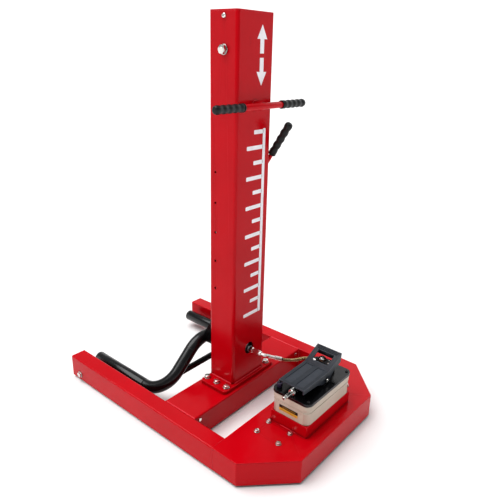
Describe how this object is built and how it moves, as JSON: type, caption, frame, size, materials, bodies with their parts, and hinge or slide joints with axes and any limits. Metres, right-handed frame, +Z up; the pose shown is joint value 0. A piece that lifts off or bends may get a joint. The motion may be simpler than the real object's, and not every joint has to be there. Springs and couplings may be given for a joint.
{
  "type": "mobile wheel lift",
  "caption": "Wheeled floor frame with an open-backed column, a hydraulic ram that raises a bent-tube wheel fork, a foot-operated air-hydraulic pump, a push bar and a lock lever.",
  "frame": {"origin": "on the floor, at the middle of the frame's length and width", "axes": "+Z up; -Y towards the front deck with the pump; +Y towards the fork tips; +X to the right of someone who looks along +Y"},
  "size_m": [0.709, 0.986, 1.32],
  "materials": {
    "red_paint": "gloss",
    "black_paint": "gloss",
    "zinc": "bright zinc plate",
    "steel": "satin",
    "chrome_rod": "polished",
    "bronze": "satin",
    "pad_plastic": "matte",
    "seal_rubber": "matte",
    "grip_rubber": "satin",
    "hose_rubber": "satin",
    "cream_paint": "satin",
    "treadle_plastic": "satin",
    "wheel_plastic": "matte",
    "dark_screw": "black oxide",
    "plug_purple": "anodised"
  },
  "bodies": {
    "base": {"left_leg": "red_paint", "right_leg": "red_paint", "crossbar": "red_paint", "deck_plate": "red_paint", "deck_skirt": "red_paint", "frame_screws": "zinc", "column_base_plate": "red_paint", "base_plate_bolts": "zinc", "column": "red_paint", "column_cap": "red_paint", "cap_screws": "zinc", "stop_bolt": "zinc", "stop_bolt_nut": "zinc", "stop_sleeve": "steel", "push_handle": "red_paint", "push_handle_grips": "grip_rubber", "ram_foot": "steel", "ram_barrel": "steel", "ram_gland": "steel", "rod_seal": "seal_rubber", "lock_bush": "zinc", "roller_axles": "zinc", "caster_plates": "zinc", "caster_bolts": "zinc", "pump_riser": "red_paint", "pump_reservoir": "cream_paint", "pump_lid": "black_paint", "pump_screws": "dark_screw", "pump_head": "black_paint", "valve_block": "zinc", "treadle_pin": "zinc", "air_inlet": "zinc", "filler_plug": "plug_purple", "outlet_fitting": "zinc", "port_fitting": "zinc", "hose": "hose_rubber"},
    "lift": {"ram_rod": "chrome_rod", "ram_guide_ring": "bronze", "rod_bolt": "zinc", "carriage_web": "steel", "carriage_sides": "steel", "carriage_head": "steel", "slide_pads": "pad_plastic", "lock_rack": "steel", "fork_ears": "black_paint", "fork_tube": "black_paint", "fork_tip_caps": "black_paint", "fork_brace": "black_paint"},
    "lock": {"lock_shaft": "zinc", "lock_pawl": "steel", "lock_lever": "red_paint", "lock_lever_grip": "grip_rubber"},
    "treadle": {"treadle": "treadle_plastic"},
    "stem": {"valve_stem": "zinc"},
    "roller_left": {"left_roller": "steel"},
    "roller_right": {"right_roller": "steel"},
    "caster_yoke_left": {"left_caster_yoke": "zinc"},
    "caster_yoke_right": {"right_caster_yoke": "zinc"},
    "caster_wheel_left": {"left_caster_wheel": "wheel_plastic"},
    "caster_wheel_right": {"right_caster_wheel": "wheel_plastic"}
  },
  "joints": [
    {"name": "lift_slide", "type": "slide", "parent": "base", "child": "lift", "axis": [0, 0, 1], "range_m": [0, 0.48]},
    {"name": "lock_hinge", "type": "hinge", "parent": "base", "child": "lock", "pos_m": [0.058, -0.048, 0.82], "axis": [1, 0, 0], "range_deg": [0, 18]},
    {"name": "treadle_hinge", "type": "hinge", "parent": "base", "child": "treadle", "pos_m": [0.005, -0.38, 0.228], "axis": [0, 1, 0], "range_deg": [-4, 7], "stiffness_Nm_per_rad": 20},
    {"name": "stem_slide", "type": "slide", "parent": "base", "child": "stem", "axis": [0, 0, 1], "range_m": [-0.0015, 0.001]},
    {"name": "left_roller_spin", "type": "hinge", "parent": "base", "child": "roller_left", "pos_m": [-0.317, 0.443, 0.03], "axis": [1, 0, 0], "continuous": true},
    {"name": "right_roller_spin", "type": "hinge", "parent": "base", "child": "roller_right", "pos_m": [0.317, 0.443, 0.03], "axis": [1, 0, 0], "continuous": true},
    {"name": "left_caster_swivel", "type": "hinge", "parent": "base", "child": "caster_yoke_left", "pos_m": [-0.17, -0.356, 0.077], "axis": [0, 0, 1], "continuous": true},
    {"name": "right_caster_swivel", "type": "hinge", "parent": "base", "child": "caster_yoke_right", "pos_m": [0.17, -0.356, 0.077], "axis": [0, 0, 1], "continuous": true},
    {"name": "left_caster_spin", "type": "hinge", "parent": "caster_yoke_left", "child": "caster_wheel_left", "pos_m": [-0.17, -0.334, 0.026], "axis": [1, 0, 0], "continuous": true},
    {"name": "right_caster_spin", "type": "hinge", "parent": "caster_yoke_right", "child": "caster_wheel_right", "pos_m": [0.17, -0.334, 0.026], "axis": [1, 0, 0], "continuous": true}
  ],
  "couplings": [
    {"joint": "stem_slide", "follows": "treadle_hinge", "m_per_rad": -0.01}
  ]
}
